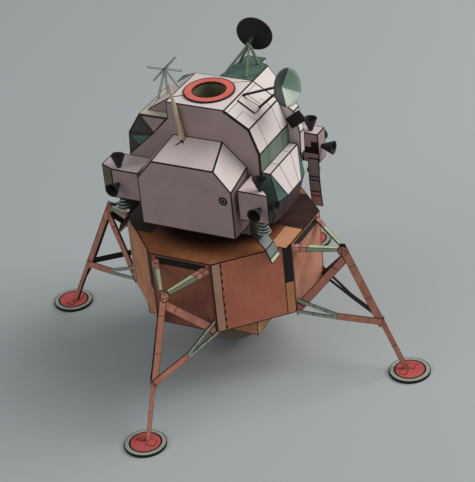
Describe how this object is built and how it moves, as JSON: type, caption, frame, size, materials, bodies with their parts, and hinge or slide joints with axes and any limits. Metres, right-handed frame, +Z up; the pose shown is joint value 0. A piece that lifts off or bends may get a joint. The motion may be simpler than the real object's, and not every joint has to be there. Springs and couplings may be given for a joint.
{
  "type": "card model of a lunar lander",
  "caption": "Display model of a lunar lander, folded from printed card: a legged lower stage with an engine bell, and a faceted cabin above with thruster clusters, antennas and a docking ring",
  "frame": {"origin": "on the ground under the middle of the engine, in the plane of the undersides of the four foot pads", "axes": "+Z up; +Y forward, toward the ladder and the hatch; +X starboard"},
  "size_m": [0.1958, 0.1958, 0.1518],
  "materials": {
    "stage_card": "matte",
    "nozzle_card": "matte",
    "strut_card": "matte",
    "green_card": "matte",
    "coral_card": "matte",
    "black_card": "matte",
    "pale_green_card": "matte",
    "grey_green_card": "matte",
    "mauve_card": "matte",
    "lilac_card": "matte",
    "mast_wood": "matte"
  },
  "bodies": {
    "root": {"descent_stage": "stage_card", "base_plinth": "stage_card", "engine_nozzle": "nozzle_card", "main_strut_aft": "strut_card", "main_strut_starboard": "strut_card", "main_strut_forward": "strut_card", "main_strut_port": "strut_card", "pad_aft": "coral_card", "pad_starboard": "coral_card", "pad_forward": "coral_card", "pad_port": "coral_card", "upper_brace_aft_right": "green_card", "upper_brace_aft_left": "green_card", "upper_brace_starboard_right": "green_card", "upper_brace_starboard_left": "green_card", "upper_brace_forward_right": "green_card", "upper_brace_forward_left": "green_card", "upper_brace_port_right": "green_card", "upper_brace_port_left": "green_card", "lower_brace_aft_right": "strut_card", "lower_brace_aft_left": "strut_card", "lower_brace_starboard_right": "strut_card", "lower_brace_starboard_left": "strut_card", "lower_brace_forward_right": "strut_card", "lower_brace_forward_left": "strut_card", "lower_brace_port_right": "strut_card", "lower_brace_port_left": "strut_card", "secondary_strut_aft_right": "strut_card", "secondary_strut_aft_left": "strut_card", "secondary_strut_starboard_right": "strut_card", "secondary_strut_starboard_left": "strut_card", "secondary_strut_forward_right": "strut_card", "secondary_strut_forward_left": "strut_card", "secondary_strut_port_right": "strut_card", "secondary_strut_port_left": "strut_card", "midsection": "lilac_card", "port_tank": "grey_green_card", "starboard_tank": "lilac_card", "aft_bay": "mauve_card", "forward_cabin": "lilac_card", "docking_ring": "coral_card", "thruster_box_aft_starboard": "lilac_card", "thrusters_aft_starboard": "black_card", "thruster_box_aft_port": "lilac_card", "thrusters_aft_port": "black_card", "thruster_box_forward_starboard": "lilac_card", "thrusters_forward_starboard": "black_card", "thruster_box_forward_port": "lilac_card", "thrusters_forward_port": "black_card", "plume_deflectors": "grey_green_card", "radar_dish": "black_card", "radar_frame": "green_card", "steerable_dish": "pale_green_card", "dish_bracket": "green_card", "cross_antenna": "green_card", "mast": "mast_wood", "sensor_flap": "black_card", "porch": "stage_card", "ladder": "green_card"}
  },
  "joints": []
}
